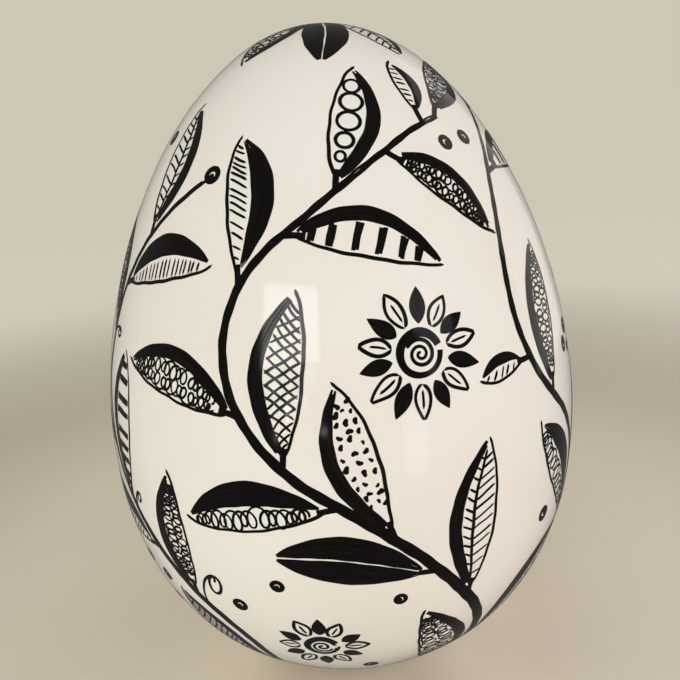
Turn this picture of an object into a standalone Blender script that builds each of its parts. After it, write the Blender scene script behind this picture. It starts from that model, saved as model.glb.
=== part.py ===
# A large decorative egg of glazed ceramic, which stands upright on its blunt end.
# Lengths are in metres, angles in radians, and +Z is up. The origin is the centre of the foot, on the
# surface that the egg stands on.

import math

import bmesh
import bpy

# Driving dimensions
EGG_LENGTH = 0.3330  # from pole to pole, before the foot is made flat
EGG_BREADTH = 0.2444  # across the widest place
WIDEST_BELOW_MIDDLE = 0.0297  # how far the widest place lies below the middle of the length
FOOT_CUT = 0.0030  # the blunt pole is cut away up to here, so that the egg stands

# How finely the curves are divided
SEGMENTS_ROUND = 88
RINGS_FOOT_TO_TIP = 50
WELD_DISTANCE = 0.00001
CREASE_ANGLE = math.radians(8.0)

# Finish: a warm white glaze with a high gloss
GLAZE_COLOUR = (0.85, 0.80, 0.74, 1.0)
GLAZE_ROUGHNESS = 0.08
GLAZE_METALLIC = 0.0


def clear_scene():
    """Start from nothing, also when the script is run a second time."""
    for old in list(bpy.data.objects):
        bpy.data.objects.remove(old, do_unlink=True)


def glaze_material():
    material = bpy.data.materials.new("white_glaze")
    material.use_nodes = True
    shader = material.node_tree.nodes["Principled BSDF"]
    shader.inputs["Base Color"].default_value = GLAZE_COLOUR
    shader.inputs["Roughness"].default_value = GLAZE_ROUGHNESS
    shader.inputs["Metallic"].default_value = GLAZE_METALLIC
    material.diffuse_color = GLAZE_COLOUR
    return material


def egg_radius(along):
    """The egg's radius at a place along its axis, measured up from the middle of its length.

    An ellipse whose breadth is divided by a factor that grows towards the top gives the true outline
    of an egg: one smooth curve, blunt below and narrower above.
    """
    ellipse = EGG_LENGTH**2 - 4 * along**2
    narrowing = EGG_LENGTH**2 + 8 * WIDEST_BELOW_MIDDLE * along + 4 * WIDEST_BELOW_MIDDLE**2
    return 0.5 * EGG_BREADTH * math.sqrt(max(ellipse, 0.0) / narrowing)


def egg_profile():
    """(radius, height) pairs from the centre of the foot, out to its rim and up to the tip.

    Equal steps of an angle bring the rings closer together near both ends, where the outline turns fastest.
    """
    half = 0.5 * EGG_LENGTH
    rim_angle = math.acos((half - FOOT_CUT) / half)
    points = [(0.0, 0.0)]
    for ring in range(RINGS_FOOT_TO_TIP):
        angle = rim_angle + (math.pi - rim_angle) * ring / RINGS_FOOT_TO_TIP
        along = -half * math.cos(angle)
        points.append((egg_radius(along), along + half - FOOT_CUT))
    points.append((0.0, EGG_LENGTH - FOOT_CUT))
    return points


def turned_solid(name, profile, material):
    """A closed solid made by turning a profile once round the Z axis. Both ends of it lie on the axis."""
    shape = bmesh.new()
    corners = [shape.verts.new((radius, 0.0, height)) for radius, height in profile]
    edges = [shape.edges.new(pair) for pair in zip(corners, corners[1:])]
    bmesh.ops.spin(
        shape,
        geom=corners + edges,
        cent=(0.0, 0.0, 0.0),
        axis=(0.0, 0.0, 1.0),
        angle=2 * math.pi,
        steps=SEGMENTS_ROUND,
        use_merge=True,
    )
    bmesh.ops.remove_doubles(shape, verts=shape.verts, dist=WELD_DISTANCE)
    bmesh.ops.recalc_face_normals(shape, faces=shape.faces)
    mesh = bpy.data.meshes.new(name)
    shape.to_mesh(mesh)
    shape.free()
    mesh.shade_smooth()
    mesh.set_sharp_from_angle(angle=CREASE_ANGLE)
    mesh.materials.append(material)
    solid = bpy.data.objects.new(name, mesh)
    bpy.context.scene.collection.objects.link(solid)
    return solid


clear_scene()
turned_solid("egg", egg_profile(), glaze_material())
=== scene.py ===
# %% [markdown]
# # A large white egg, drawn on in black pen
# The real object is one hollow piece of glazed ceramic. It stands on its blunt end, its warm white glaze
# mirrors the room, and a drawing in black paint marker goes all the way round it.
# We load the measured solid first. Every later size is taken from it, so nothing has to be fitted by hand.

# %% The measured solid
import math

import bpy
import numpy as np
from mathutils import Matrix, Vector


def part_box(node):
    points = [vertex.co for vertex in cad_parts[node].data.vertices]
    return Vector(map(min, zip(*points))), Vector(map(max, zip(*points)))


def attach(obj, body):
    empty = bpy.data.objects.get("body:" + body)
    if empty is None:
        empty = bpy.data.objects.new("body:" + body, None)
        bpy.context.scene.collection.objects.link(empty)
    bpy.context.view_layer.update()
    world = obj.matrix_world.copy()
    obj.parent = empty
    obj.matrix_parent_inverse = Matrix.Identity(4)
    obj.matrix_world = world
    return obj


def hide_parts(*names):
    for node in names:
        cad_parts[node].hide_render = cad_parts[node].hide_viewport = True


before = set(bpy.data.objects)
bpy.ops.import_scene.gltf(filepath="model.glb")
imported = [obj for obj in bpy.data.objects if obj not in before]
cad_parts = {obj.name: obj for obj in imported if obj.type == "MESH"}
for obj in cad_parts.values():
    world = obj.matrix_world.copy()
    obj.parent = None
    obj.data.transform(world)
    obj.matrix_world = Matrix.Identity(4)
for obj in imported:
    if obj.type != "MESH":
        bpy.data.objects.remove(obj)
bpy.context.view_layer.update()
low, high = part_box("egg")
HEIGHT = high.z - low.z
BREADTH = high.x - low.x
print(f"the egg is {HEIGHT * 1000:.1f} mm tall and {BREADTH * 1000:.1f} mm across")

# %% [markdown]
# ## The outline
# An egg is an ellipse that narrows towards one end. One formula gives it: the ellipse's breadth is divided
# by a factor that grows towards the top. Two half ellipses would also look like an egg, but their curvature
# jumps where they meet, and a mirror-like glaze shows such a jump as a kink in every reflection.

# %% Outline of the egg
FOOT_CUT = 0.0030  # the blunt pole is flat up to here
WIDEST_BELOW_MIDDLE = 0.0297
EGG_LENGTH = HEIGHT + FOOT_CUT
FULL_TURN = 2 * math.pi


def egg_radius(height):
    """The egg's radius at a height above its foot."""
    along = np.asarray(height, float) + FOOT_CUT - EGG_LENGTH / 2
    ellipse = np.maximum(EGG_LENGTH**2 - 4 * along**2, 0.0)
    narrowing = EGG_LENGTH**2 + 8 * WIDEST_BELOW_MIDDLE * along + 4 * WIDEST_BELOW_MIDDLE**2
    return 0.5 * BREADTH * np.sqrt(ellipse / narrowing)


FOOT_RADIUS = float(egg_radius(0.0))
print(f"the foot is {2000 * FOOT_RADIUS:.1f} mm across")

# %% [markdown]
# ## Finding a place on the surface
# The glaze and the pen lines have to lie on the same surface, to a tenth of a millimetre. So both ask one
# function for it. It takes directions, as seen from a point at the egg's heart, and finds the surface there.
# A hand-cast egg isn't perfectly turned: slow waves of about a tenth of a millimetre bend its reflections.

# %% The surface as a function of direction
HEART = np.array([0.0, 0.0, EGG_LENGTH / 2 - WIDEST_BELOW_MIDDLE - FOOT_CUT])
UNEVENNESS = 0.00009
ANGLE_STEPS = 2001
rim_angle = math.acos(1 - 2 * FOOT_CUT / EGG_LENGTH)
outline_angle = np.linspace(rim_angle, math.pi, ANGLE_STEPS)[::-1]
outline_height = EGG_LENGTH / 2 * (1 - np.cos(outline_angle)) - FOOT_CUT
outline_radius = egg_radius(outline_height)
outline_polar = np.arctan2(outline_radius, outline_height - HEART[2])
outline_distance = np.hypot(outline_radius, outline_height - HEART[2])
outline_tilt = np.arctan2(-np.gradient(outline_height), np.gradient(outline_radius))
outline_run = np.append(0.0, np.cumsum(np.hypot(np.diff(outline_radius), np.diff(outline_height))))


def surface(directions, lift=0.0):
    """Surface points in these directions from the heart, raised by lift, and the normals there."""
    ways = directions / np.linalg.norm(directions, axis=-1, keepdims=True)
    sideways = ways[..., :2] / np.maximum(np.hypot(ways[..., 0], ways[..., 1]), 1e-9)[..., None]
    polar = np.arccos(np.clip(ways[..., 2], -1, 1))
    tilt = np.interp(polar, outline_polar, outline_tilt)
    normals = np.concatenate([sideways * np.sin(tilt)[..., None], np.cos(tilt)[..., None]], axis=-1)
    wave_a = np.sin(14 * ways[..., 0] + 9 * ways[..., 2] + 1.0) * np.sin(11 * ways[..., 1] + 2.0)
    wave_b = np.sin(17 * ways[..., 2] - 8 * ways[..., 1] + 0.5) * np.sin(13 * ways[..., 0] - 1.0)
    waves = UNEVENNESS * (wave_a + wave_b - 2) * np.clip((ways[..., 2] + 0.97) * 8, 0, 1)
    distance = np.interp(polar, outline_polar, outline_distance)
    rise = waves + lift
    return HEART + ways * distance[..., None] + normals * np.asarray(rise)[..., None], normals


print(f"the surface is at least {outline_distance.min() * 1000:.0f} mm from the heart")

# %% [markdown]
# ## The camera
# The picture was taken from close by, a little above the middle of the egg, with the camera tilted down and
# not quite level. The outline in the picture gives all of that: near the egg, the lens widens its lower half.

# %% Camera
PICTURE_SIDE = 680
FOCAL_PIXELS = 700.0
SENSOR_WIDTH = 36.0
NEAREST_SEEN = 0.01
CAMERA_PLACE = np.array([0.0010, -0.3683, 0.2697])
LOOKS_DOWN = math.radians(15.0)
LEANS = math.radians(-3.44)

forward = np.array([0.0, math.cos(LOOKS_DOWN), -math.sin(LOOKS_DOWN)])
level_right = np.array([1.0, 0.0, 0.0])
level_up = np.cross(level_right, forward)
camera_right = level_right * math.cos(LEANS) + level_up * math.sin(LEANS)
camera_up = level_up * math.cos(LEANS) - level_right * math.sin(LEANS)

lens_data = bpy.data.cameras.new("view")
lens_data.sensor_width = SENSOR_WIDTH
lens_data.lens = FOCAL_PIXELS / PICTURE_SIDE * SENSOR_WIDTH
lens_data.clip_start = NEAREST_SEEN
camera = bpy.data.objects.new("view", lens_data)
bpy.context.scene.collection.objects.link(camera)
turned_by = Matrix([camera_right, camera_up, -forward]).transposed().to_4x4()
camera.matrix_world = Matrix.Translation(CAMERA_PLACE) @ turned_by
bpy.context.scene.camera = camera
print(f"the lens is {lens_data.lens:.1f} mm on a {SENSOR_WIDTH:.0f} mm sensor")

# %% [markdown]
# ## What the glaze mirrors
# A glossy egg is a convex mirror. To put a window's reflection where the picture has it, we follow the view
# through a pixel to the egg, and ask where the mirrored ray goes. A lamp placed there shows at that pixel.

# %% From a pixel to the egg and to what it mirrors
SEARCHED = np.linspace(0.1, 0.5, 20001)  # metres from the camera


def seen_at(pixel):
    """The surface point behind a pixel of the picture, and the direction that is mirrored there."""
    across = (pixel[0] - PICTURE_SIDE / 2) / FOCAL_PIXELS
    upward = (PICTURE_SIDE / 2 - pixel[1]) / FOCAL_PIXELS
    ray = forward + across * camera_right + upward * camera_up
    ray /= np.linalg.norm(ray)
    steps = CAMERA_PLACE + SEARCHED[:, None] * ray
    inside = np.hypot(steps[:, 0], steps[:, 1]) < egg_radius(steps[:, 2])
    point, normal = surface(steps[inside.argmax()] - HEART)
    return point, ray - 2 * (ray @ normal) * normal


print("mirrored at the middle of the picture:", seen_at((PICTURE_SIDE / 2, PICTURE_SIDE / 2))[1].round(2))

# %% [markdown]
# ## The glazed body
# The measured solid has large facets. The piece that is seen is turned again from the same outline, finely
# enough for clean reflections, with its slow waves. A map with one seam at the back unrolls it, so that
# its finish can be stored as a picture later.

# %% Turned bodies
SEGMENTS_ROUND = 256
BODY_RINGS = 200


def unrolled(points):
    """Where points lie on the egg's map: round from the back seam, and up from foot to tip."""
    from_heart = points - HEART
    round_share = np.arctan2(-from_heart[:, 0], -from_heart[:, 1]) / FULL_TURN + 0.5
    polar = np.arctan2(np.hypot(from_heart[:, 0], from_heart[:, 1]), from_heart[:, 2])
    return round_share, 1 - np.interp(polar, outline_polar, outline_run / outline_run[-1])


def values_of(items, name, kind, each=1):
    """One property of all of a mesh's items, as a numpy array."""
    values = np.empty(len(items) * each, kind)
    items.foreach_get(name, values)
    return values


def add_map(mesh):
    """Gives a mesh the egg's map. A face across the seam is kept in one piece."""
    round_share, up_share = unrolled(values_of(mesh.vertices, "co", float, 3).reshape(-1, 3))
    corner = values_of(mesh.loops, "vertex_index", int)
    first = values_of(mesh.polygons, "loop_start", int)
    start = np.repeat(round_share[corner[first]], values_of(mesh.polygons, "loop_total", int))
    across = round_share[corner]
    across = start + (across - start + 0.5) % 1.0 - 0.5
    layer = mesh.uv_layers.new(name="OFBake")
    layer.uv.foreach_set("vector", np.stack([across, up_share[corner]], 1).ravel())


def new_piece(name, vertices, faces, crease_degrees):
    """A smooth-shaded piece from points and faces, with the egg's map, that rides on the egg."""
    mesh = bpy.data.meshes.new(name)
    mesh.from_pydata(vertices, [], faces)
    mesh.update()
    mesh.shade_smooth()
    mesh.set_sharp_from_angle(angle=math.radians(crease_degrees))
    add_map(mesh)
    piece = bpy.data.objects.new(name, mesh)
    bpy.context.scene.collection.objects.link(piece)
    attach(piece, "root")
    return piece


def around(segments):
    """Pairs of neighbours once round a ring."""
    return [(step, (step + 1) % segments) for step in range(segments)]


def side_faces(ring_count, segments):
    """The faces between rings of vertices."""
    levels = range(0, (ring_count - 1) * segments, segments)
    pairs = [(low + a, low + b) for low in levels for a, b in around(segments)]
    return [(a, b, segments + b, segments + a) for a, b in pairs]


def closed_faces(ring_count, segments):
    """The faces between rings, and the fans that close them at the two vertices that follow the rings."""
    last = (ring_count - 1) * segments
    start_index = ring_count * segments
    start_fan = [(start_index, b, a) for a, b in around(segments)]
    end_fan = [(start_index + 1, last + a, last + b) for a, b in around(segments)]
    return [*start_fan, *side_faces(ring_count, segments), *end_fan]


def turned_points(outline, segments):
    """Rings of points from (radius, height) pairs."""
    angles = np.arange(segments) * FULL_TURN / segments
    ways = [(math.cos(angle), math.sin(angle)) for angle in angles]
    return [(radius * x, radius * y, height) for radius, height in outline for x, y in ways]


print(f"{BODY_RINGS} rings of {SEGMENTS_ROUND} points each")

# %% [markdown]
# ### The shell
# Equal steps of an angle bring the rings closer together near both ends, where the outline turns faster.
# The lowest ring is laid flat, just above the worktop, because the bare foot below it carries the egg.

# %% Body
CLAY_RECESS = 0.0008  # the glaze stops this far above the surface that the egg stands on
round_angles = np.arange(SEGMENTS_ROUND) * FULL_TURN / SEGMENTS_ROUND
lowest_angle = math.acos(1 - 2 * (FOOT_CUT + CLAY_RECESS) / EGG_LENGTH)
body_angles = np.linspace(lowest_angle, math.pi, BODY_RINGS + 1)[:-1]
body_heights = EGG_LENGTH / 2 * (1 - np.cos(body_angles)) - FOOT_CUT
ring_points = []
for height in body_heights:
    ring_radius = float(egg_radius(height))
    ring_ways = np.stack([ring_radius * np.cos(round_angles), ring_radius * np.sin(round_angles)], 1)
    ring_heights = np.full((SEGMENTS_ROUND, 1), height - HEART[2])
    ring_points.append(surface(np.concatenate([ring_ways, ring_heights], 1))[0])
ring_points[0][:, 2] = CLAY_RECESS
tip = surface(np.array([0.0, 0.0, 1.0]))[0]
body_points = np.concatenate([*ring_points, [(0.0, 0.0, CLAY_RECESS), tip]])
body_faces = closed_faces(BODY_RINGS, SEGMENTS_ROUND)
body = new_piece("glazed_body", body_points, body_faces, crease_degrees=8.0)
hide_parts("egg")
print(f"the glazed body has {len(body_faces)} faces")

# %% [markdown]
# ## The bare foot
# A glazed pot would stick to the kiln shelf, so the potter wipes the glaze off its foot. What is left is a
# low disc of bare clay with a soft edge. It is what the egg really stands on.

# %% Foot disc
CLAY_TOP = 0.0012  # it reaches a little into the body
CLAY_EDGE = 0.0005
CLAY_SHARE = 0.94
clay_radius = CLAY_SHARE * FOOT_RADIUS
clay_outline = [
    (clay_radius - CLAY_EDGE, 0.0),
    (clay_radius - 0.3 * CLAY_EDGE, 0.3 * CLAY_EDGE),
    (clay_radius, CLAY_EDGE),
    (clay_radius, CLAY_TOP),
]
clay_points = [*turned_points(clay_outline, SEGMENTS_ROUND), (0.0, 0.0, 0.0), (0.0, 0.0, CLAY_TOP)]
clay_faces = closed_faces(len(clay_outline), SEGMENTS_ROUND)
foot = new_piece("bare_foot", np.array(clay_points), clay_faces, crease_degrees=50.0)
print(f"the bare foot is {2000 * clay_radius:.1f} mm across")

# %% [markdown]
# ## Pens
# Each stroke is real geometry: a thin closed ribbon that hugs the glaze. It stands a twentieth of a
# millimetre proud, as a coat of paint does, and reaches a little into it, so that no gap can show.
# A painted texture would blur when seen close. A stroke is first spaced evenly, then given a slow wander,
# because no hand draws a perfect line, and its own lift, so that crossing strokes never share a face.

# %% Even spacing and a hand's wander
chance = np.random.default_rng(27)
ANY_PHASE = 6.3  # random phases are drawn from one turn
WANDER_WAVES = (0.047, 0.023, 0.011)
PAINT_LOWEST = 0.00004
PAINT_HIGHEST = 0.00008
PAINT_ROOT = -0.00022


def evenly(directions, step):
    """The same path with points at equal steps on the surface, and the length run at each point."""
    places = surface(np.asarray(directions, float))[0]
    run = np.append(0.0, np.cumsum(np.linalg.norm(np.diff(places, axis=0), axis=1)))
    count = max(int(math.ceil(run[-1] / step)), 2) + 1
    wanted = np.linspace(0, run[-1], count)
    spaced = np.stack([np.interp(wanted, run, places[:, axis]) for axis in range(3)], 1)
    return spaced - HEART, wanted


def ring(radius, count, turns=1.0, start=0.0):
    """Flat points round a circle. A little more than one turn lets a stroke run on over its own start."""
    angles = start + np.linspace(0, FULL_TURN * turns, count)
    return radius * np.stack([np.cos(angles), np.sin(angles)], 1)


def wander(run, size):
    """A slow sideways drift along a stroke: three waves of random strength and phase."""
    drift = np.zeros(len(run))
    for wave_length in WANDER_WAVES:
        strength = size * chance.uniform(0.2, 0.6)
        drift += strength * np.sin(FULL_TURN * run / wave_length + chance.uniform(0, FULL_TURN))
    return drift


print(f"the paint is {PAINT_LOWEST * 1000:.2f} to {PAINT_HIGHEST * 1000:.2f} mm thick")

# %% [markdown]
# ### Ribbons
# The cross-section of a fine line is a triangle, two edges on the glaze and one point below. A broad line
# needs a middle row too, or it would cut through the round surface. Sections are joined in a numpy grid,
# which is quick even for thousands of strokes, and each kind of stroke is gathered into one mesh. Every
# point also remembers where it lies across and along its stroke, so that the paint can streak that way.

# %% Ribbons of paint
FINE_SECTION = ((-1, True), (1, True), (0, False))
BROAD_SECTION = ((-1, True), (0, True), (1, True), (1, False), (-1, False))
BROAD_FROM = 0.0022


class Inking:
    """Strokes of one kind, gathered into one mesh."""

    def __init__(self, name):
        self.name = name
        self.points = []
        self.stroke_places = []
        self.faces = []
        self.count = 0

    def add(self, points, faces, across, along):
        """One closed stroke, with how far across and along it each of its points lies."""
        own_number = np.full(len(points), float(len(self.points)))
        self.stroke_places.append(np.stack([across, along, own_number], 1))
        self.points.append(points)
        self.faces += [tuple(int(corner) + self.count for corner in face) for face in faces]
        self.count += len(points)

    def ribbon(self, path, widths, sideways=0.0):
        """One pass of a pen along a path, with its width and sideways shift at each point."""
        lift = chance.uniform(PAINT_LOWEST, PAINT_HIGHEST)
        centre, normals = surface(path)
        heading = np.gradient(centre, axis=0)
        side = np.cross(heading, normals)
        side /= np.maximum(np.linalg.norm(side, axis=1, keepdims=True), 1e-12)
        section = BROAD_SECTION if np.max(widths) > BROAD_FROM else FINE_SECTION
        rows = []
        offsets = []
        for share, on_top in section:
            offset = np.broadcast_to(sideways + share * widths / 2, len(path))
            height = lift if on_top else PAINT_ROOT
            rows.append(surface(centre + side * offset[:, None] - HEART, height)[0])
            offsets.append(offset)
        grid = np.stack(rows, 1)
        along = np.append(0.0, np.cumsum(np.linalg.norm(np.diff(centre, axis=0), axis=1)))
        count, corners = grid.shape[:2]
        here = np.arange(count - 1)[:, None] * corners + np.arange(corners)
        beside = np.arange(count - 1)[:, None] * corners + (np.arange(corners) + 1) % corners
        quads = np.stack([here, beside, beside + corners, here + corners], -1).reshape(-1, 4)
        start_cap = list(range(corners))[::-1]
        end_cap = [(count - 1) * corners + corner for corner in range(corners)]
        across = np.stack(offsets, 1).ravel()
        faces = [*quads.tolist(), start_cap, end_cap]
        self.add(grid.reshape(-1, 3), faces, across, np.repeat(along, corners))

    def build(self, slot):
        piece = new_piece(self.name, np.concatenate(self.points), self.faces, crease_degrees=40.0)
        stroke_place = piece.data.attributes.new("stroke_place", "FLOAT_VECTOR", "POINT")
        stroke_place.data.foreach_set("vector", np.concatenate(self.stroke_places).ravel())
        triangles = sum(len(face) - 2 for face in self.faces)
        print(f"{self.name}: {len(self.points)} strokes, {triangles} triangles")
        return piece


print(f"a stroke is called broad from {BROAD_FROM * 1000:.1f} mm")

# %% [markdown]
# ### Ways to draw
# A fine pen leaves a line of nearly even width with round ends. A broad marker is laid down in two to six
# passes side by side. They start and stop at slightly different places, which gives its ragged ends, and
# here and there they part and leave a sliver of white. A small shape is outlined and filled in, and a blot
# is such a shape, a little out of round.

# %% Pen, marker and filled shapes
FINE_STEP = 0.0008
LONG_STEP = 0.0013
BROAD_STEP = 0.0015
FEWEST_STEPS = 24
PASS_WIDTH = 0.0021
PASS_OVERLAP = 0.24
STEADY = 0.0001  # how far a careful short line wanders
PASS_WANDER = 0.00022
INNER_RIM = 0.55  # a second rim lets a filled shape follow the round surface


def pen(inking, directions, width, step=LONG_STEP, wander_size=0.00028):
    """A fine line with round ends."""
    path, run = evenly(directions, step)
    nib = width / 2
    from_end = np.minimum(run, run[-1] - run)
    rounding = np.sqrt(np.clip(1 - (1 - np.clip(from_end / nib, 0, 1)) ** 2, 0.04, 1))
    pressure = 1 + 0.14 * np.sin(run / 0.011 + chance.uniform(0, ANY_PHASE))
    inking.ribbon(path, width * rounding * pressure, wander(run, wander_size))


def marker(inking, directions, width_at, ragged=0.0022):
    """A broad stroke in passes side by side. width_at gives its width for shares of its length."""
    whole, whole_run = evenly(directions, BROAD_STEP)
    if len(whole) < FEWEST_STEPS:
        whole, whole_run = evenly(directions, whole_run[-1] / FEWEST_STEPS)
    widest = float(np.max(width_at(np.linspace(0, 1, 21))))
    passes = max(1, round(widest / PASS_WIDTH))
    for number in range(passes):
        starts = chance.uniform(0, ragged) if passes > 1 else 0.0
        stops = whole_run[-1] - (chance.uniform(0, ragged) if passes > 1 else 0.0)
        kept = (whole_run >= starts) & (whole_run <= stops)
        if kept.sum() < 3:
            continue
        path = whole[kept]
        run = whole_run[kept]
        full = width_at(run / whole_run[-1])
        each = full / (passes - (passes - 1) * PASS_OVERLAP)
        shift = (number - (passes - 1) / 2) * each * (1 - PASS_OVERLAP)
        inking.ribbon(path, each, shift + wander(run, PASS_WANDER))


def filled(inking, place, rim):
    """A shape filled with paint, its rim given in flat points that its middle can see."""
    corners = len(rim)
    middle = rim.mean(0)
    inner_rim = middle + INNER_RIM * (rim - middle)
    lift = chance.uniform(PAINT_LOWEST, PAINT_HIGHEST)
    inner = surface(place.directions(inner_rim), lift)[0]
    outer = surface(place.directions(rim), lift)[0]
    below = surface(place.directions(rim), PAINT_ROOT)[0]
    top = surface(place.directions([middle]), lift)[0]
    bottom = surface(place.directions([middle]), PAINT_ROOT)[0]
    faces = []
    for corner in range(corners):
        after = (corner + 1) % corners
        faces.append((3 * corners, corner, after))
        faces.append((corner, corners + corner, corners + after, after))
        faces.append((corners + corner, 2 * corners + corner, 2 * corners + after, corners + after))
        faces.append((2 * corners + corner, 3 * corners + 1, 2 * corners + after))
    flat = np.concatenate([inner_rim, rim, rim, [middle, middle]])
    inking.add(np.concatenate([inner, outer, below, top, bottom]), faces, flat[:, 1], flat[:, 0])


def blot(inking, place, radius, roundness=0.12, corners=18):
    """A filled spot, a little out of round."""
    angles = np.arange(corners) * FULL_TURN / corners
    phase = chance.uniform(0, ANY_PHASE)
    lobes = roundness * np.sin(2 * angles + phase)
    reach = radius * (1 + lobes + 0.5 * roundness * np.sin(3 * angles - phase))
    filled(inking, place, np.stack([np.cos(angles), np.sin(angles)], 1) * reach[:, None])


print(f"a marker pass is {PASS_WIDTH * 1000:.1f} mm wide")

# %% [markdown]
# ### Paper held against the egg
# A leaf is easiest to draw flat. So each motif has its own small sheet of paper, held against the egg at
# one point and turned as needed. Its x and y become directions from the heart, and so places on the glaze.

# %% A place to draw


def toward(azimuth, height):
    """From the heart to a place: degrees to the right of the front, and height above the foot."""
    angle = math.radians(azimuth)
    radius = float(egg_radius(height))
    return np.array([radius * math.sin(angle), -radius * math.cos(angle), height - HEART[2]])


class Place:
    """A flat sheet held against the egg at one point, with x along a heading and y to its left."""

    def __init__(self, direction, heading):
        point, normal = surface(np.asarray(direction, float))
        x_axis = heading - (heading @ normal) * normal
        self.x_axis = x_axis / np.linalg.norm(x_axis)
        self.y_axis = np.cross(normal, self.x_axis)
        self.point = point

    def directions(self, flat):
        flat = np.asarray(flat, float)
        return self.point + flat[:, :1] * self.x_axis + flat[:, 1:] * self.y_axis - HEART

    def moved(self, x, y, turn):
        """Another sheet, with its corner at x, y on this one, turned to the left by radians."""
        heading = math.cos(turn) * self.x_axis + math.sin(turn) * self.y_axis
        return Place(self.directions([(x, y)])[0], heading)


def upright(azimuth, height, turn=0.0):
    """A sheet at a place on the egg, with x to the right, turned to the left by an angle in degrees."""
    angle = math.radians(azimuth)
    rightwards = np.array([math.cos(angle), math.sin(angle), 0.0])
    return Place(toward(azimuth, height), rightwards).moved(0.0, 0.0, math.radians(turn))


print("a sheet on the front touches the egg at", upright(0.0, HEIGHT / 2).point.round(3))

# %% [markdown]
# ### Room between motifs
# Whoever fills a surface with leaves looks at the gap that is left, and draws the next leaf to suit. The
# script does the same. It remembers every place that is drawn on, and tries a motif at shrinking sizes
# until it clears them all.

# %% Places already drawn on
NO_STEM = -1


class DrawnPlaces:
    """Remembers which places are drawn on, and which stem each belongs to, if any."""

    def __init__(self):
        self.points = surface(np.array([[0.0, 0.0, -1.0]]))[0]
        self.stems = np.array([NO_STEM])

    def note(self, directions, stem_number=NO_STEM):
        self.points = np.concatenate([self.points, surface(directions)[0]])
        self.stems = np.append(self.stems, np.full(len(directions), stem_number))

    def gap(self, directions, stem_number=NO_STEM, base=None, base_reach=0.0):
        """How far the nearest drawn place is, leaving out a motif's own stem near its base."""
        others = self.points
        if base is not None:
            near_base = ((others - base) ** 2).sum(1) < base_reach**2
            others = others[~(near_base & (self.stems == stem_number))]
        places = surface(directions)[0]
        squares = (places**2).sum(1)[:, None] + (others**2).sum(1) - 2 * places @ others.T
        return math.sqrt(max(squares.min(), 0.0))


drawn = DrawnPlaces()
print("nothing is drawn yet")

# %% [markdown]
# ## Leaves
# The drawing is made of leafy vines. A leaf has one heavy edge or half, laid down with the broad marker,
# and one light edge in fine pen, which is how a quick hand gives a flat shape some weight. The rest of it
# is filled with one of several small patterns, and neighbours on a stem have different ones.

# %% The outline of a leaf
FINE = 0.00108
LIGHT = 0.00145


class LeafShape:
    """A leaf's middle line, and its half breadth along its length."""

    def __init__(self, length, breadth, curl, fullness):
        self.length = length
        self.breadth = breadth
        self.curl = curl
        self.fullness = fullness

    def half(self, share):
        along = np.clip(np.asarray(share, float), 0, 1) ** self.fullness
        return 0.5 * self.breadth * np.sin(math.pi * along) ** 0.8

    def at(self, share, offset):
        """Points at shares of the length, offset from the middle line by shares of the half breadth."""
        share = np.asarray(share, float)
        middle = self.curl * np.sin(math.pi * share) * self.length
        return np.stack([share * self.length, middle + offset * self.half(share)], -1)


print(f"the fine pens draw lines {FINE * 1000:.1f} and {LIGHT * 1000:.1f} mm wide")

# %% [markdown]
# ### Patterns
# Each pattern fills the band of a leaf between an inner and an outer edge, given in half breadths from its
# middle line. So the same pattern can fill a whole leaf or only the half beside a black one. Curls are
# the commonest, a line of loops drawn without lifting the pen.

# %% Curls
patterns = Inking("leaf_patterns")
CURL_ROW = 0.0072
LOOP_STEPS = 13


def curls(place, shape, inner, outer):
    """Rows of loops, each row drawn without lifting the pen."""
    row_count = max(1, round((outer - inner) * shape.breadth / 2 / CURL_ROW))
    row_share = (outer - inner) / row_count
    for row in range(row_count):
        offset = inner + row_share * (row + 0.5)
        share = 0.10 + 0.02 * chance.uniform()
        angle = chance.uniform(0, ANY_PHASE)
        turning = chance.choice((-1, 1))
        phases = chance.uniform(0, ANY_PHASE, 2)
        tall = chance.uniform(0.95, 1.3)
        points = []
        while share < 0.91:
            slow = math.sin(0.37 * angle + phases[0])
            quick = math.sin(0.83 * angle + phases[1])
            unsteady = 1 + 0.24 * slow + 0.16 * quick
            reach = float(np.clip(0.42 * row_share * shape.half(share), 0.0008, 0.0034)) * unsteady
            loop = reach * np.array([0.85 * math.cos(angle), turning * tall * math.sin(angle)])
            points.append(shape.at(share, offset) + loop)
            angle += FULL_TURN / LOOP_STEPS
            share += 1.25 * reach / LOOP_STEPS / shape.length
        if len(points) > 6:
            pen(patterns, place.directions(points), FINE, FINE_STEP, STEADY)


print(f"rows of curls about {CURL_ROW * 1000:.0f} mm apart")

# %% [markdown]
# ### Lines and bars
# Four patterns are only lines from one edge of a leaf to the other. They differ in how far apart the lines
# are, how they lean and which pen draws them, so one function makes them all.

# %% Lines across a leaf
VEIN_GAP = 0.0046
HATCH_GAP = 0.0030
NET_GAP = 0.0042
BAR_GAP = 0.0080


def lines_across(place, shape, inner, outer, gap, lean, draw):
    """Lines from the inner to the outer edge, at uneven gaps and leaning towards the tip."""
    share = 0.09
    while share < 0.90:
        reach = np.linspace(inner, outer, 9)
        slant = share + lean * (reach - inner) * shape.half(share) / shape.length
        inside = (slant > 0.03) & (slant < 0.97)
        if inside.sum() > 3:
            draw(place.directions(shape.at(slant[inside], reach[inside])))
        share += gap * chance.uniform(0.75, 1.3) / shape.length


def fine_line(directions):
    pen(patterns, directions, FINE)


def short_bar(directions):
    marker(patterns, directions, lambda share: 0.0028 + 0.0008 * share, 0.0006)


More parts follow.
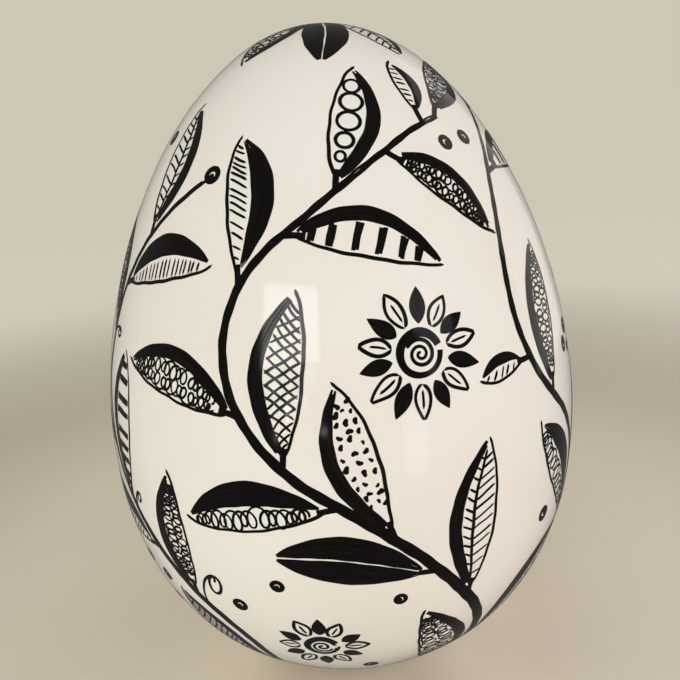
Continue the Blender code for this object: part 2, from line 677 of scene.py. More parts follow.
def veins(place, shape, inner, outer):
    """Slanting veins, on both sides of a midrib if the band holds the middle line."""
    if inner < 0 < outer:
        pen(patterns, place.directions(shape.at(np.linspace(0.02, 0.93, 30), 0.0)), LIGHT)
        lines_across(place, shape, 0.0, inner, VEIN_GAP, -0.6, fine_line)
        lines_across(place, shape, 0.0, outer, VEIN_GAP, 0.6, fine_line)
    else:
        lines_across(place, shape, inner, outer, VEIN_GAP * 0.8, 0.7, fine_line)


def hatching(*band):
    lines_across(*band, HATCH_GAP, 0.35, fine_line)


def netting(*band):
    lines_across(*band, NET_GAP, 0.8, fine_line)
    lines_across(*band, NET_GAP, -0.8, fine_line)


def bars(*band):
    lines_across(*band, BAR_GAP, 0.15, short_bar)


print(f"lines {HATCH_GAP * 1000:.1f} to {BAR_GAP * 1000:.1f} mm apart")

# %% [markdown]
# ### Seeds and beads
# Dots are small blots in rows, each pushed a little off its row. Beads are rings that nearly touch.

# %% Dots and rings
SEED_GAP = 0.0046


def seeds(place, shape, inner, outer):
    """Dots of uneven size, in rows that follow the leaf."""
    row_count = max(1, round((outer - inner) * shape.breadth / 2 / SEED_GAP))
    for row in range(row_count):
        offset = inner + (outer - inner) * (row + 0.5) / row_count
        for share in np.arange(0.12 + 0.02 * (row % 2), 0.9, SEED_GAP / shape.length):
            if shape.half(share) * (outer - inner) / row_count < 0.0022:
                continue
            x, y = shape.at(share, offset) + chance.normal(0, 0.0005, 2)
            blot(patterns, place.moved(x, y, 0.0), chance.uniform(0.0007, 0.0015), 0.25, 12)


def beads(place, shape, inner, outer):
    """A row of open rings that grow and shrink with the leaf."""
    share = 0.12
    offset = (inner + outer) / 2
    while share < 0.88:
        radius = float(np.clip(0.36 * (outer - inner) * shape.half(share), 0.0011, 0.0046))
        x, y = shape.at(share + radius / shape.length, offset)
        spot = place.moved(x, y, 0.0)
        circle = ring(radius, 26, 1.08, chance.uniform(0, FULL_TURN))
        pen(patterns, spot.directions(circle * (1.0, chance.uniform(0.8, 1.1))), LIGHT, FINE_STEP, STEADY)
        share += 2 * (radius + 0.0010) / shape.length


print("seven patterns to fill a leaf with")

# %% [markdown]
# ### A whole leaf
# Three kinds of leaf share those patterns: one with a heavy edge, one with a solid half, and one all
# black, with a white midrib left open. The black ones give the drawing its rhythm from far away.

# %% Leaf kinds
broad_edges = Inking("leaf_marker_strokes")
light_edges = Inking("leaf_pen_lines")
HEAVY_EDGE = 0.0062
HEAVY_FROM = 0.058  # a shorter leaf has a lighter heavy edge
EDGE_ENDS = 0.0013
MIDRIB_GAP = 0.0011


def light_edge(place, shape, side):
    """The thin outline of one side. It often runs on past the tip."""
    edge = shape.at(np.linspace(0.0, 0.995, 40), side)
    onward = edge[-1] - edge[-3]
    past_tip = edge[-1] + onward / np.linalg.norm(onward) * chance.uniform(0.0005, 0.0045)
    pen(light_edges, place.directions(np.concatenate([edge, [past_tip]])), LIGHT)


def solid_half(place, shape, side):
    """Half of a leaf filled with the marker, up to a gap at the midrib."""
    share = np.linspace(0.02, 0.985, 50)

    def width(along):
        return np.maximum(shape.half(0.02 + 0.965 * along) - MIDRIB_GAP / 2, 0.0007)

    marker(broad_edges, place.directions(shape.at(share, side * 0.53)), width, 0.0012)


def edged_leaf(place, shape, side, pattern):
    """One heavy edge, one light one, and a pattern between them."""
    heavy = HEAVY_EDGE * min(1.0, shape.length / HEAVY_FROM)

    def width(along):
        return EDGE_ENDS + (heavy - EDGE_ENDS) * np.sin(math.pi * np.clip(along, 0, 1) ** 0.8) ** 0.6

    inner_share = 1 - heavy / shape.breadth
    marker(broad_edges, place.directions(shape.at(np.linspace(0, 1, 50), side * inner_share)), width)
    light_edge(place, shape, -side)
    low_edge, high_edge = sorted((-side * 0.90, side * (2 * inner_share - 1) * 0.92))
    pattern(place, shape, low_edge, high_edge)


def half_leaf(place, shape, side, pattern):
    """One half black, the other filled with a pattern."""
    solid_half(place, shape, side)
    light_edge(place, shape, -side)
    low_edge, high_edge = sorted((-side * 0.10, -side * 0.90))
    pattern(place, shape, low_edge, high_edge)


def black_leaf(place, shape, side, pattern):
    solid_half(place, shape, side)
    solid_half(place, shape, -side)


LOOKS = (
    (edged_leaf, curls),
    (half_leaf, hatching),
    (edged_leaf, veins),
    (black_leaf, None),
    (edged_leaf, seeds),
    (half_leaf, curls),
    (edged_leaf, netting),
    (edged_leaf, curls),
    (half_leaf, veins),
    (edged_leaf, bars),
    (edged_leaf, beads),
)
print(f"{len(LOOKS)} looks of a leaf")

# %% [markdown]
# ### Leaves that fit
# A leaf starts at a place on the stem. A few leans are tried, each at shrinking lengths, and the
# longest leaf that clears all that is drawn is kept.

# %% Fitting a leaf
CLEARANCE = 0.0034
SHORTEST_LEAF = 0.024
LEAF_SLENDERNESS = 0.27
STALK = 0.0055
STALK_WIDTH = 0.0026
LEAF_CURL = 0.08
SIZES_TRIED = np.arange(1.0, 0.2, -0.06)
LEANS_TRIED = (42, 54, 32, 68)  # degrees from the stem


def even(width):
    """The same width all along a stroke."""
    return lambda share: width + 0 * share


def footprint(place, shape):
    """Places round a leaf's rim and along its middle."""
    share = np.linspace(0.14, 1.02, 14)
    rims = [place.directions(shape.at(share, offset)) for offset in (-1.12, 0.0, 1.12)]
    return np.concatenate(rims)


def fitted_leaf(base, stem_number, side, longest, look, leans=LEANS_TRIED):
    """Draws the longest leaf that has room on one side of a stem, and returns its length, or 0."""
    best = None
    for lean in leans:
        stalk = base.moved(0.0, 0.0, side * math.radians(lean))
        place = stalk.moved(STALK, 0.0, 0.0)
        for size in SIZES_TRIED:
            length = longest * size
            if length < SHORTEST_LEAF or (best and length <= best[0] * 1.1):
                break
            breadth = LEAF_SLENDERNESS * length + 0.0040
            shape = LeafShape(length, breadth, -LEAF_CURL * side, chance.uniform(0.92, 1.12))
            rim = footprint(place, shape)
            if drawn.gap(rim, stem_number, base.point, 0.012 + 0.22 * length) > CLEARANCE:
                best = (length, stalk, place, shape, rim)
                break
    if not best:
        return 0.0
    length, stalk, place, shape, rim = best
    stalk_line = stalk.directions([(-0.0002, 0.0), (STALK + 0.004, 0.0)])
    marker(broad_edges, stalk_line, even(STALK_WIDTH))
    kind, pattern = look
    kind(place, shape, -side, pattern)
    drawn.note(rim)
    return length


print(f"leaves keep {CLEARANCE * 1000:.1f} mm clear of everything else")

# %% [markdown]
# ## Vines
# A vine is one long marker stroke through a few chosen stops. All the stems are drawn first and the leaves
# after them, so that a leaf can't run over the next stem.

# %% Stems
stems = Inking("stems")
STEM_END = 0.40
CUTS = 5


def smooth_route(stops):
    """A smooth path through (azimuth, height) stops, found by cutting its corners again and again."""
    ways = np.array([surface(toward(azimuth, height))[0] - HEART for azimuth, height in stops])
    for _ in range(CUTS):
        quarter = 0.75 * ways[:-1] + 0.25 * ways[1:]
        three_quarters = 0.25 * ways[:-1] + 0.75 * ways[1:]
        between = np.stack([quarter, three_quarters], 1).reshape(-1, 3)
        ways = np.concatenate([ways[:1], between, ways[-1:]])
    return evenly(ways, BROAD_STEP)[0]


def heading_at(path, index):
    """The stem's direction of travel at a point of its path."""
    before = max(index - 2, 0)
    after = min(index + 2, len(path) - 1)
    return surface(path[after])[0] - surface(path[before])[0]


def stem(number, width, *stops):
    """A stem through (azimuth, height) stops, which gets thinner towards its end."""
    path = smooth_route(stops)
    marker(stems, path, lambda share: width * (1 - (1 - STEM_END) * share))
    drawn.note(path[::2], number)
    return path


print("stems taper to", STEM_END, "of their width")

# %% [markdown]
# ### Leaves along a stem
# Leaves spring from alternate sides, and the last one carries on the stem's own line. Where that one finds
# no room, a berry closes the stem, and where a berry has none either, the stem just ends.

# %% Filling a stem
LEAF_EVERY = 0.026
END_BERRY = 0.0042
BERRY_BEYOND = 0.0055
BERRY_ROOM = 0.0012
END_LEANS = (4, -14, 20, -30, 40)


def leaves_along(path, stem_number, longest, first_look, first_side):
    """Leaves on alternate sides of a stem, and one that carries on its line, or else a berry."""
    run = evenly(path, BROAD_STEP)[1][-1]
    count = int(run / LEAF_EVERY)
    look = first_look
    side = first_side
    end = Place(path[-3], heading_at(path, len(path) - 3))
    if not fitted_leaf(end, stem_number, 1, longest * 0.7, LOOKS[look % len(LOOKS)], END_LEANS):
        spot = end.moved(BERRY_BEYOND, 0.0, 0.0)
        if drawn.gap(spot.directions(ring(END_BERRY, 12)), stem_number, end.point, 0.012) > BERRY_ROOM:
            berry(spot, END_BERRY)
    for number in range(count):
        along = (number + 0.6) / count
        index = int(along * (len(path) - 1))
        base = Place(path[index], heading_at(path, index))
        if fitted_leaf(base, stem_number, side, longest * (1 - 0.25 * along), LOOKS[look % len(LOOKS)]):
            look += 1
        side = -side


print(f"a leaf every {LEAF_EVERY * 1000:.0f} mm of stem")

# %% [markdown]
# ## Seed heads
# Round seed heads break up the long shapes. A ring of petals, every other one solid black, stands round a
# thick ring with a spiral in it.

# %% Seed heads
heads = Inking("seed_heads")
SPIRAL_GAP = 0.0025
PETAL_GAP = 0.0034


def seed_head(place, radius, petals):
    """A round head of petals about a spiral."""
    centre_radius = 0.32 * radius
    circle = place.directions(ring(centre_radius, 60, 1.04))
    marker(heads, circle, lambda share: 0.0030 + 0.0008 * np.sin(6 * share))
    turns = 0.72 * centre_radius / SPIRAL_GAP
    spiral = np.linspace(0, FULL_TURN * turns, int(24 * turns))
    winding = np.stack([np.cos(spiral), np.sin(spiral)], 1) * (SPIRAL_GAP * spiral / FULL_TURN)[:, None]
    pen(heads, place.directions(winding), LIGHT, FINE_STEP, STEADY)
    for number in range(petals):
        petal = place.moved(0.0, 0.0, FULL_TURN * number / petals + chance.normal(0, 0.03))
        start = centre_radius + PETAL_GAP
        length = (radius - start) * (1 + 0.08 * math.sin(5 * number))
        share = np.linspace(0, 1, 40)
        broad = 1.55 * math.pi * (start + 0.5 * length) / petals
        fullness = chance.uniform(0.72, 0.88)
        half = 0.5 * broad * np.sin(math.pi * share**fullness) ** 0.9
        edge = np.stack([start + length * share, half], 1)
        back = np.stack([start + length * share, -half], 1)[::-1]
        if number % 2:
            filled(heads, petal, np.concatenate([edge[:-1:2], back[:-1:2]]))
        else:
            pen(heads, petal.directions(np.concatenate([edge, back])), LIGHT)
            rib = np.stack([start + length * np.linspace(0.15, 0.7, 10), np.zeros(10)], 1)
            pen(heads, petal.directions(rib), FINE)
    for share in (0.3, 0.65, 1.0):
        drawn.note(place.directions(ring(radius * share, 30)))


print(f"a seed head's spiral winds {SPIRAL_GAP * 1000:.1f} mm apart")

# %% [markdown]
# ## Berries and tendrils
# Berries and thin spirals fill what gaps are left. A tendril is tried at shrinking sizes, like a leaf, and
# a berry is drawn wherever a random spot turns out to have room.

# %% Small fillings
berries = Inking("berries")
TENDRIL_TURNS = 1.9
ROOM_FOR_THREE = 0.0145
ROOM_FOR_ONE = 0.0095


def berry(place, radius):
    """A black berry, drawn as a thick ring that is filled in but for a white glint."""
    circle = place.directions(ring(0.68 * radius, 34, 1.03, chance.uniform(0, FULL_TURN)))
    marker(berries, circle, even(0.64 * radius), 0.0)
    blot(berries, place.moved(-0.15 * radius, -0.08 * radius, 0.0), 0.34 * radius, 0.05)
    drawn.note(place.directions(ring(radius, 7)))


def tendril(base, stem_number, side, longest):
    """A thin spiral that springs from a stem, as large as there is room for."""
    for reach in np.arange(longest, 0.007, -0.0015):
        angles = np.linspace(0, FULL_TURN * TENDRIL_TURNS, 60)
        wound = angles / angles[-1]
        radius = 0.5 * reach * (1 - 0.86 * angles / angles[-1])
        x = 0.25 * reach + 0.5 * reach * wound**0.3 - radius * np.cos(angles) * 0.8
        y = side * (0.9 * reach - radius * np.sin(angles + 0.5) - 0.55 * reach * (1 - wound) ** 3)
        curve = base.directions(np.stack([x, y], 1))
        if drawn.gap(curve[8:], stem_number, base.point, 0.007) > 0.0035:
            pen(light_edges, curve, LIGHT, 0.0010, STEADY)
            drawn.note(curve[::4])
            return


def small_fillings(tries, berry_radius):
    """Berries alone and in threes, wherever a random spot has room for them."""
    for _ in range(tries):
        place = upright(chance.uniform(-180, 180), chance.uniform(0.02, 0.30), chance.uniform(0, 360))
        room = drawn.gap(place.directions([(0.0, 0.0)]))
        if room > ROOM_FOR_THREE:
            for turn in np.arange(3) * FULL_TURN / 3:
                spot = place.moved(0.0, 0.0, turn).moved(0.0062, 0.0, 0.0)
                berry(spot, berry_radius * chance.uniform(0.85, 1.15))
        elif room > ROOM_FOR_ONE:
            berry(place, berry_radius * chance.uniform(0.8, 1.1))


print(f"a lone berry needs {ROOM_FOR_ONE * 1000:.1f} mm all round")

# %% [markdown]
# ## The drawing
# The stops of each stem are chosen like the composition of any drawing: tall vines climb from the
# foot in slow curves and lean over towards the tip. A rosette of leaves covers the tip itself. About
# three quarters of the glaze stays white.

# %% Rosette round the tip
ROSETTE_LEAVES = 8
ROSETTE_LOOKS = ((black_leaf, None), (edged_leaf, curls), (black_leaf, None), (edged_leaf, veins))
for number in range(ROSETTE_LEAVES):
    turn = FULL_TURN * number / ROSETTE_LEAVES
    outwards = np.array([math.cos(turn), math.sin(turn), 0.0])
    petal_place = Place(np.array([0.0, 0.0, 1.0]), outwards).moved(0.0045, 0.0, 0.0)
    petal_shape = LeafShape(0.056 - 0.006 * (number % 2), 0.0215, 0.05, 1.12)
    kind, pattern = ROSETTE_LOOKS[number % 4]
    kind(petal_place, petal_shape, 1, pattern)
    drawn.note(footprint(petal_place, petal_shape))
print(f"{ROSETTE_LEAVES} leaves round the tip")

# %% [markdown]
# ### Seven vines
# Each stop is an angle round the egg, in degrees to the right of the front, and a height above the foot.

# %% Stems all round
# width, then the stops from the foot upwards
VINES = (
    (0.0062, (26, 0.012), (38, 0.055), (14, 0.115), (-20, 0.160), (-26, 0.215), (4, 0.255), (40, 0.282)),
    (0.0060, (72, 0.012), (60, 0.070), (68, 0.130), (40, 0.180), (42, 0.235), (66, 0.284)),
    (0.0058, (-34, 0.012), (-22, 0.055), (-46, 0.100), (-70, 0.155), (-62, 0.220), (-34, 0.262)),
    (0.0060, (108, 0.012), (96, 0.070), (118, 0.130), (100, 0.190), (108, 0.245), (92, 0.285)),
    (0.0058, (146, 0.012), (158, 0.070), (142, 0.130), (160, 0.190), (148, 0.250), (170, 0.285)),
    (0.0060, (-174, 0.012), (-160, 0.060), (-182, 0.120), (-168, 0.180), (-184, 0.235), (-150, 0.280)),
    (0.0058, (-118, 0.012), (-136, 0.070), (-112, 0.130), (-130, 0.190), (-112, 0.245), (-122, 0.285)),
)
vines = [stem(number, width, *stops) for number, (width, *stops) in enumerate(VINES)]
print(f"{len(vines)} stems")

# %% [markdown]
# ### Seed heads between the vines
# They go where the vines swing apart. They are drawn before the leaves, which then keep clear of them.

# %% Five seed heads
# degrees round, height, turn, radius and number of petals
SEED_HEADS = (
    (16, 0.193, 10, 0.026, 14),
    (-8, 0.060, 0, 0.021, 12),
    (-94, 0.060, 0, 0.025, 14),
    (-92, 0.240, 20, 0.022, 12),
    (130, 0.060, 0, 0.020, 12),
)
for azimuth, height, turn, radius, petals in SEED_HEADS:
    seed_head(upright(azimuth, height, turn), radius, petals)
print(f"{len(SEED_HEADS)} seed heads")

# %% [markdown]
# ### Leaves and fillings
# The vines get their leaves one after the other. Then tendrils and berries fill what is left.

# %% Growing the leaves
LONGEST_LEAF = 0.078
for number, path in enumerate(vines):
    leaves_along(path, number, LONGEST_LEAF, 3 * number, 1 - 2 * (number % 2))
for number, path in enumerate(vines):
    for along in np.arange(0.08, 0.97, 0.09):
        index = int(along * (len(path) - 1))
        base = Place(path[index], heading_at(path, index))
        tendril(base, number, chance.choice((-1, 1)), 0.020)
small_fillings(tries=260, berry_radius=0.0038)
print(f"the drawing keeps clear of {len(drawn.points)} noted places")

# %% [markdown]
# ## Finishes as sums
# A finish that changes over a surface is shader maths, and that is easier to read as a sum than as a chain
# of nodes. So a small class wraps a node's output, and lets Python's own operators add the nodes.

# %% Shader maths in Python


class Wire:
    """One output of a shader node. Arithmetic on it adds the nodes that work it out."""

    def __init__(self, tree, socket):
        self.tree = tree
        self.socket = socket

    @staticmethod
    def find(sockets, name):
        """The socket in use that has this name, where underscores stand for spaces."""
        wanted = name.replace("_", " ")
        return next(socket for socket in sockets if socket.enabled and socket.name == wanted)

    @staticmethod
    def feed(tree, socket, value):
        """Links a wire to a socket, or sets a plain value on it."""
        if isinstance(value, Wire):
            tree.links.new(value.socket, socket)
        else:
            socket.default_value = value

    @classmethod
    def node(cls, tree, kind, settings=None, output=None, **values):
        """A node of any kind, with its settings set first and then its sockets' values or links."""
        made = tree.nodes.new(kind)
        for name, value in (settings or {}).items():
            setattr(made, name, value)
        for name, value in values.items():
            cls.feed(tree, cls.find(made.inputs, name), value)
        return cls(tree, cls.find(made.outputs, output) if output else made.outputs[0])

    def maths(self, operation, first, second):
        made = self.tree.nodes.new("ShaderNodeMath")
        made.operation = operation
        for socket, value in zip(made.inputs, (first, second)):
            self.feed(self.tree, socket, value)
        return Wire(self.tree, made.outputs[0])

    def __add__(self, other):
        return self.maths("ADD", self, other)

    def __sub__(self, other):
        return self.maths("SUBTRACT", self, other)

    def __rsub__(self, other):
        return self.maths("SUBTRACT", other, self)

    def __mul__(self, other):
        return self.maths("MULTIPLY", self, other)

    __radd__ = __add__
    __rmul__ = __mul__

    def between(self, low_value, high_value):
        """0 below the low value, 1 above the high one, and a smooth rise between them."""
        settings = {"interpolation_type": "SMOOTHSTEP"}
        ends = {"From_Min": low_value, "From_Max": high_value}
        return Wire.node(self.tree, "ShaderNodeMapRange", settings, "Result", Value=self, **ends)

    def blend(self, colour_a, colour_b):
        """colour_a where this is 0 and colour_b where it is 1."""
        settings = {"data_type": "RGBA"}
        ends = {"A": colour_a, "B": colour_b}
        return Wire.node(self.tree, "ShaderNodeMix", settings, "Result", Factor=self, **ends)

    def relief(self, strength, depth):
        """Small bumps that are this deep between 0 and 1."""
        lengths = {"Strength": strength, "Distance": depth}
        return Wire.node(self.tree, "ShaderNodeBump", None, "Normal", Height=self, **lengths)


def new_finish(name):
    """A material and its node tree."""
    material = bpy.data.materials.new(name)
    material.use_nodes = True
    return material, material.node_tree


def finished(tree, **values):
    """Gives the tree's main shader its values and wires."""
    for name, value in values.items():
        Wire.feed(tree, Wire.find(tree.nodes["Principled BSDF"].inputs, name), value)


def noise(tree, scale, detail, stretch=None):
    """Cloudy values from 0 to 1. The scale is in lumps to a metre."""
    where = Wire.node(tree, "ShaderNodeTexCoord", output="Object")
    if stretch:
        where = Wire.node(tree, "ShaderNodeMapping", None, "Vector", Vector=where, Scale=stretch)
    return Wire.node(tree, "ShaderNodeTexNoise", None, "Fac", Vector=where, Scale=scale, Detail=detail)


print("operators that add nodes: +, - and *")

# %% [markdown]
# ## Paint
# Black marker isn't an even black. The nib leaves fine streaks along each stroke, best seen where a window
# is mirrored, and where it ran dry the paint turns faintly brown and shines less. The streaks follow the
# stroke because they are looked up by the place across and along it that each point remembers.

# %% Black paint
INK_DENSE = (0.0014, 0.0012, 0.0010, 1.0)
INK_THIN = (0.0105, 0.0080, 0.0055, 1.0)
STREAKS_ACROSS = 950.0  # streaks to a metre across the stroke
STREAKS_ALONG = 30.0

STREAK_SEED = 7.3
PATCHES_TO_METRE = 45.0
PAINT_ROUGHNESS = 0.09
STREAK_DEPTH = 0.000010

ink_finish, ink_tree = new_finish("black_paint")
stroke_place = Wire.node(ink_tree, "ShaderNodeAttribute", {"attribute_name": "stroke_place"}, "Vector")
streak_sizes = {"Vector": stroke_place, "Scale": (STREAKS_ACROSS, STREAKS_ALONG, STREAK_SEED)}
streak_place = Wire.node(ink_tree, "ShaderNodeMapping", None, "Vector", **streak_sizes)
streaks = Wire.node(ink_tree, "ShaderNodeTexNoise", None, "Fac", Vector=streak_place, Scale=1.0, Detail=2.0)
patches = noise(ink_tree, PATCHES_TO_METRE, 2.0).between(0.40, 0.68)
thinness = streaks.between(0.42, 0.68) * (0.45 + 0.55 * patches)
finished(
    ink_tree,
    Base_Color=thinness.blend(INK_DENSE, INK_THIN),
    Roughness=PAINT_ROUGHNESS + 0.12 * thinness,
    Coat_Weight=0.95 - 0.80 * thinness,
    Normal=streaks.relief(1.0, STREAK_DEPTH),
    IOR=1.25,
    Coat_IOR=1.45,
    Coat_Roughness=PAINT_ROUGHNESS,
)
print(f"{STREAKS_ACROSS / 1000:.2f} streaks to a millimetre")
for inking in (stems, broad_edges, light_edges, patterns, heads, berries):
    inking.build("ink").data.materials.append(ink_finish)

# %% [markdown]
# ## Glaze
# The glaze is a warm white with a very smooth surface. It pooled a little thicker in places while it was
# molten, so its tone drifts slowly between cream and white. Its skin has the faint dimples of an orange
# peel, and hands have left smears where it is slightly less sharp.

# %% White glaze
GLAZE_WHITE = (0.885, 0.850, 0.812, 1.0)
GLAZE_CREAM = (0.850, 0.805, 0.748, 1.0)

POOLS_TO_METRE = 9.0
SMEARS_TO_METRE = 26.0
SMEARS_STRETCHED = (1.0, 1.0, 0.45)
DIMPLES_TO_METRE = 140.0
GLAZE_ROUGHNESS = 0.075
GLAZE_IOR = 1.52
DIMPLE_DEPTH = 0.00008

glaze_finish, glaze_tree = new_finish("white_glaze")
pooling = noise(glaze_tree, POOLS_TO_METRE, 2.0).between(0.30, 0.72)
smears = noise(glaze_tree, SMEARS_TO_METRE, 5.0, SMEARS_STRETCHED).between(0.52, 0.80)
dimples = noise(glaze_tree, DIMPLES_TO_METRE, 1.0)
finished(
    glaze_tree,
    Base_Color=pooling.blend(GLAZE_WHITE, GLAZE_CREAM),
    Roughness=GLAZE_ROUGHNESS + 0.07 * smears,
    Normal=dimples.relief(0.30, DIMPLE_DEPTH),
    IOR=GLAZE_IOR,
)
body.data.materials.append(glaze_finish)
print(f"dimples {1000 / DIMPLES_TO_METRE:.0f} mm apart")

# %% [markdown]
# ## Bare clay
# Fired clay without glaze is matt and a little sandy. Fine grain in its colour and relief gives that.

# %% Clay
CLAY_PALE = (0.60, 0.53, 0.44, 1.0)
CLAY_DARK = (0.46, 0.39, 0.31, 1.0)
GRAINS_TO_METRE = 900.0
GRAIN_DEPTH = 0.0002
CLAY_ROUGHNESS = 0.85

clay_finish, clay_tree = new_finish("bare_clay")
grain = noise(clay_tree, GRAINS_TO_METRE, 6.0).between(0.35, 0.75)
clay_colour = grain.blend(CLAY_PALE, CLAY_DARK)
finished(clay_tree, Base_Color=clay_colour, Normal=grain.relief(0.5, GRAIN_DEPTH), Roughness=CLAY_ROUGHNESS)
foot.data.materials.append(clay_finish)
print("three finishes: paint, glaze and clay")

# %% [markdown]
# ## The studio
# The egg stands in a wide round bowl of plain pale card, whose floor sweeps up into a wall on all sides, so
# that every view has the same quiet background. On the floor the card is paler near the egg and darker in a
# band further out. That band is painted shade, like the shade at the foot of a wall. Away from the egg the
# card glows evenly by itself and takes hardly any light, because a lamp near a wall would draw its own edge
# on it. And a glossy thing mirrors its whole studio, where pale card would turn its blacks grey. A
# photographer hangs black cloth against that. Here the bowl is simply left out of mirrored rays, so that the
# glaze mirrors an even dim room instead.

# %% Floor and wall in one sweep
FLOOR_RADIUS = 3.0
SWEEP_RADIUS = 1.5
WALL_HEIGHT = 4.5
BOWL_SEGMENTS = 96
BENDS = 33
FLOOR_RINGS = (0.3, 1.2)
NEAR_CARD = (0.73, 0.67, 0.565, 1.0)
# the darker card further out is painted shade, like the shade at the foot of a wall
FAR_CARD_PAINTED_SHADE = (0.545, 0.495, 0.415, 1.0)
WALL_CARD = (0.05, 0.048, 0.042, 1.0)
NO_GLOW = (0.0, 0.0, 0.0, 1.0)
WALL_GLOW = (0.50, 0.47, 0.38, 1.0)
GLOW_STRENGTH = 1.16
CARD_ROUGHNESS = 0.8
# over this reach the floor card darkens from the paler card near the egg into the band of painted shade
NEAR_TO_PAINTED_SHADE = (0.20, 0.50)  # metres from the egg over which the card changes
FAR_TO_WALL = (0.45, 1.2)

bends = np.linspace(0, math.pi / 2, BENDS)
sweep = SWEEP_RADIUS * np.stack([np.sin(bends), 1 - np.cos(bends)], 1) + (FLOOR_RADIUS, 0.0)
floor = [(radius, 0.0) for radius in FLOOR_RINGS]
bowl_outline = [*floor, *sweep, (FLOOR_RADIUS + SWEEP_RADIUS, WALL_HEIGHT)]
bowl_points = turned_points(bowl_outline, BOWL_SEGMENTS)
bowl_faces = [range(BOWL_SEGMENTS), *(face[::-1] for face in side_faces(len(bowl_outline), BOWL_SEGMENTS))]
bowl_mesh = bpy.data.meshes.new("studio_bowl")
bowl_mesh.from_pydata(bowl_points, [], bowl_faces)
bowl_mesh.shade_smooth()
bowl = bpy.data.objects.new("studio_bowl", bowl_mesh)
bpy.context.scene.collection.objects.link(bowl)
bowl.visible_glossy = False

card_finish, card_tree = new_finish("pale_card")
card_place = Wire.node(card_tree, "ShaderNodeTexCoord", output="Object")
length = {"operation": "LENGTH"}
card_reach = Wire.node(card_tree, "ShaderNodeVectorMath", length, "Value", Vector=card_place)
# paler card near the egg, darkening further out into a band of painted shade
floor_with_painted_shade = card_reach.between(*NEAR_TO_PAINTED_SHADE).blend(NEAR_CARD, FAR_CARD_PAINTED_SHADE)
up_the_wall = card_reach.between(*FAR_TO_WALL)
finished(
    card_tree,
    Base_Color=up_the_wall.blend(floor_with_painted_shade, WALL_CARD),
    Emission_Color=up_the_wall.blend(NO_GLOW, WALL_GLOW),
    Emission_Strength=GLOW_STRENGTH,
    Roughness=CARD_ROUGHNESS,
)
bowl_mesh.materials.append(card_finish)
print(f"the studio is {2 * (FLOOR_RADIUS + SWEEP_RADIUS):.1f} m across")

# %% [markdown]
# ### Lamps
# A lamp's power is spread over its area, so a small panel of the same power looks brighter. Here each panel
# is given by its brightness instead, and its power worked out.

# %% Lamps by brightness
EGG_MIDDLE = Vector((0.0, 0.0, HEIGHT / 2))


def panel(name, middle, target, width, height, brightness, colour, mirrored):
    """A flat lamp that faces a target. Only a mirrored one shows in the glaze."""
    data = bpy.data.lights.new(name, "AREA")
    data.shape = "RECTANGLE"
    data.size = width
    data.size_y = height
    data.energy = brightness * math.pi * width * height
    data.color = colour
    lamp = bpy.data.objects.new(name, data)
    bpy.context.scene.collection.objects.link(lamp)
    lamp.location = Vector(middle)
    lamp.rotation_euler = (Vector(target) - Vector(middle)).to_track_quat("-Z", "Y").to_euler()
    lamp.visible_glossy = mirrored
    lamp.visible_camera = False
    return lamp


print("lamps aim at the egg's middle,", round(EGG_MIDDLE.z, 3), "m up")

# %% [markdown]
# ### What the glaze mirrors
# Each mirrored lamp is given by the box of pixels that its reflection fills, and the view is followed to
# the egg and on from there to find where the lamp has to be. The real room has one window, with narrow
# strips of light, a lit lamp and a small bright spot below it, and pale glows further right. A pale wall
# behind, on the right, shows only at the egg's right edge, where even black paint mirrors nearly all light.

# %% Mirrored lamps
# left, top, right and bottom pixel
WINDOW_BOX = (262, 285, 319, 367)
CURTAIN_GAP_BOX = (269, 368, 280, 397)
SILL_BOX = (285, 368, 315, 393)
DOOR_CRACK_BOX = (275, 398, 279, 443)
LAMP_ARM_BOX = (287, 398, 306, 402)
LAMP_STEM_BOX = (287, 405, 292, 419)
SPOT_BOX = (319, 426, 325, 432)
HIGH_GLOW_BOX = (403, 288, 452, 345)
SLIT_GLOW_BOX = (429, 346, 437, 392)
LOW_GLOW_BOX = (404, 410, 430, 474)
# name, box, brightness and shape
REFLECTIONS = (
    ("window", WINDOW_BOX, 2.9, "RECTANGLE"),
    ("curtain_gap", CURTAIN_GAP_BOX, 1.9, "RECTANGLE"),
    ("sill", SILL_BOX, 0.9, "RECTANGLE"),
    ("door_crack", DOOR_CRACK_BOX, 1.6, "RECTANGLE"),
    ("lamp_arm", LAMP_ARM_BOX, 4.0, "RECTANGLE"),
    ("lamp_stem", LAMP_STEM_BOX, 6.0, "RECTANGLE"),
    ("spot", SPOT_BOX, 3.5, "RECTANGLE"),
    ("high_glow", HIGH_GLOW_BOX, 0.45, "ELLIPSE"),
    ("slit_glow", SLIT_GLOW_BOX, 0.5, "ELLIPSE"),
    ("low_glow", LOW_GLOW_BOX, 0.85, "ELLIPSE"),
)
WINDOW_LIGHT = (0.97, 0.97, 1.0)
MIRRORED_AWAY = 1.2  # how far from the egg the lamps hang
PALE_WALL_PLACE = (1.75, 1.0, 0.9)
PALE_WALL_SIZE = (1.6, 2.4)
PALE_WALL_BRIGHTNESS = 0.45
WALL_LIGHT = (1.0, 0.95, 0.90)


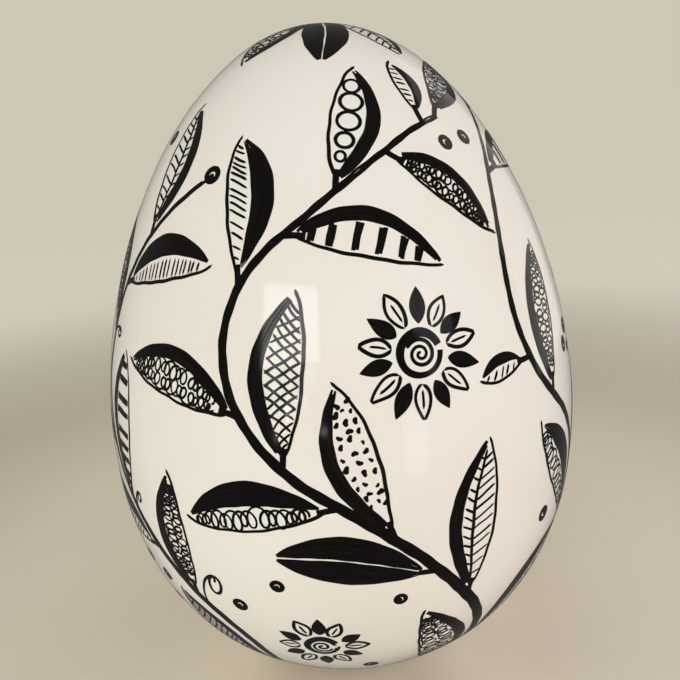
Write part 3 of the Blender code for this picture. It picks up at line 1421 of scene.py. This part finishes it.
def reflection(name, box, brightness, shape):
    """A lamp whose reflection fills a box of pixels of the picture."""
    left, top, right, bottom = box
    corners = []
    for pixel in ((left, bottom), (right, bottom), (right, top), (left, top)):
        point, way = seen_at(pixel)
        corners.append(Vector(point + MIRRORED_AWAY * way))
    width = ((corners[1] + corners[2]) - (corners[0] + corners[3])) / 2
    height = ((corners[3] + corners[2]) - (corners[0] + corners[1])) / 2
    middle = sum(corners, Vector()) / 4
    lamp = panel(name, middle, EGG_MIDDLE, width.length, height.length, brightness, WINDOW_LIGHT, True)
    facing = Vector(seen_at(((left + right) / 2, (top + bottom) / 2))[0]) - middle
    z_axis = -facing.normalized()
    y_axis = (height - height.dot(z_axis) * z_axis).normalized()
    x_axis = y_axis.cross(z_axis)
    lamp.rotation_euler = Matrix([x_axis, y_axis, z_axis]).transposed().to_euler()
    lamp.data.shape = shape


for name, box, brightness, shape in REFLECTIONS:
    reflection(name, box, brightness, shape)
panel("pale_wall", PALE_WALL_PLACE, EGG_MIDDLE, *PALE_WALL_SIZE, PALE_WALL_BRIGHTNESS, WALL_LIGHT, True)
print(f"{len(REFLECTIONS) + 1} lamps show in the glaze")

# %% [markdown]
# ### Soft light
# Large panels on all sides give the soft light, brightest from the right. They hang far from the egg, so
# that the light on the floor stays even. Two lie on the floor and face up, to light the egg's underside as
# a pale worktop does. None of them is mirrored.

# %% Soft panels
ROOM_COLOUR = (1.0, 0.96, 0.90, 1.0)
ROOM_STRENGTH = 0.10
# name, place, aimed at, width, height, brightness, colour
SOFT_PANELS = (
    ("ceiling", (0.0, 0.0, 2.7), EGG_MIDDLE, 3.0, 3.0, 0.61, (1.0, 0.98, 1.0)),
    ("left_fill", (-1.7, -0.8, 1.7), EGG_MIDDLE, 1.6, 1.4, 0.95, (0.96, 1.0, 0.94)),
    ("front_fill", (-0.5, -1.25, 0.24), EGG_MIDDLE, 0.6, 0.4, 1.9, (0.97, 0.97, 1.0)),
    ("right_fill", (1.9, -0.7, 0.9), EGG_MIDDLE, 1.5, 1.2, 2.2, (0.97, 0.93, 1.0)),
    ("worktop_left", (-0.55, -0.4, 0.004), (-0.55, -0.4, 1.0), 1.0, 1.0, 0.33, (0.95, 1.0, 0.95)),
    ("worktop_right", (0.55, -0.4, 0.004), (0.55, -0.4, 1.0), 1.0, 1.0, 0.30, (1.0, 0.95, 1.0)),
    ("back_left", (-1.4, 1.5, 1.2), EGG_MIDDLE, 1.4, 1.4, 0.45, (1.0, 0.99, 0.9)),
    ("back_right", (1.4, 1.5, 1.2), EGG_MIDDLE, 1.4, 1.4, 0.8, (1.0, 0.94, 1.0)),
)
for name, place, target, width, height, brightness, colour in SOFT_PANELS:
    panel(name, place, target, width, height, brightness, colour, False)

world = bpy.data.worlds.new("dim_room")
world.use_nodes = True
room = world.node_tree.nodes["Background"]
room.inputs["Color"].default_value = ROOM_COLOUR
room.inputs["Strength"].default_value = ROOM_STRENGTH
bpy.context.scene.world = world
bpy.context.scene.view_settings.view_transform = "Standard"
print(f"{len(SOFT_PANELS)} soft panels")
